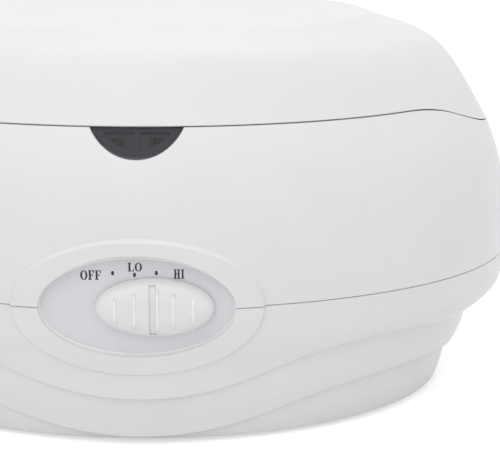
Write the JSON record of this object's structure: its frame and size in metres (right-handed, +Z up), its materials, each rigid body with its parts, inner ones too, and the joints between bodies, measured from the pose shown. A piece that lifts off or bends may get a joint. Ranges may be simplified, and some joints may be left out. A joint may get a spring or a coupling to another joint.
{
  "type": "wax warmer pot",
  "caption": "Oval countertop paraffin wax warmer: white housing with a lift-off lid, a heated inner tank, a recessed slide heat control and a smoked indicator window.",
  "frame": {"origin": "under the middle of the part, on the plane that its feet stand on", "axes": "+X to the right along the long axis of the oval, -Y towards the control panel, +Z up"},
  "size_m": [0.3904, 0.2608, 0.2033],
  "materials": {
    "white_plastic": "satin moulded white",
    "panel_plastic": "fine matt grey-lilac",
    "smoked_plastic": "polished dark smoke",
    "silicone": "matt translucent white",
    "tank_aluminium": "satin anodised",
    "grate_plastic": "matt heat-proof white",
    "zinc_steel": "bright zinc plated",
    "mica": "laminated mica sheet",
    "ceramic_body": "unglazed ceramic",
    "fuse_case": "drawn case",
    "glass_wool": "needled glass fibre felt",
    "nylon": "natural moulded nylon",
    "brass_parts": "turned",
    "phenolic": "moulded dark brown",
    "lamp_amber": "clear amber",
    "lamp_green": "clear green",
    "gland_plastic": "satin moulded light grey",
    "lead_insulation": "smooth insulation",
    "foot_rubber": "matt moulded"
  },
  "bodies": {
    "pot": {"base_housing": "white_plastic", "upper_housing": "white_plastic", "control_panel": "panel_plastic", "indicator_lens": "smoked_plastic", "tank_gasket": "silicone", "wax_tank": "tank_aluminium", "tank_grate": "grate_plastic", "tank_screws": "zinc_steel", "clamp_nuts": "zinc_steel", "heater_clamp": "zinc_steel", "guide_screws": "zinc_steel", "thermostat_nut": "zinc_steel", "thermostat_bracket": "zinc_steel", "bracket_screws": "zinc_steel", "housing_screws": "zinc_steel", "heater_element": "mica", "fuse_holder": "ceramic_body", "thermal_fuse": "fuse_case", "insulation_blanket": "glass_wool", "guide_upper": "nylon", "guide_lower": "nylon", "terminal_block": "nylon", "lamp_holder": "nylon", "terminal_screws": "brass_parts", "thermostat_body": "phenolic", "power_lamp": "lamp_amber", "ready_lamp": "lamp_green", "cord_gland": "gland_plastic", "gland_nut": "gland_plastic", "wiring_leads": "lead_insulation", "foot_front_left": "foot_rubber", "foot_front_right": "foot_rubber", "foot_rear_left": "foot_rubber", "foot_rear_right": "foot_rubber"},
    "lid": {"lid_shell": "white_plastic", "lid_seal": "silicone"},
    "knob": {"slide_knob": "white_plastic", "knob_carriage": "nylon"},
    "spindle": {"drive_pinion": "brass_parts", "thermostat_spindle": "brass_parts"}
  },
  "joints": [
    {"name": "lid_lift", "type": "slide", "parent": "pot", "child": "lid", "axis": [0, 0, 1], "range_m": [0, 0.12]},
    {"name": "knob_slide", "type": "slide", "parent": "pot", "child": "knob", "axis": [1, 0, 0], "range_m": [-0.0257, 0.0083]},
    {"name": "thermostat_turn", "type": "hinge", "parent": "pot", "child": "spindle", "pos_m": [0, -0.1083, 0.0426], "axis": [0, 1, 0], "range_deg": [-125.5, 41.5]}
  ],
  "couplings": [
    {"joint": "thermostat_turn", "follows": "knob_slide", "rad_per_m": 83.333}
  ]
}
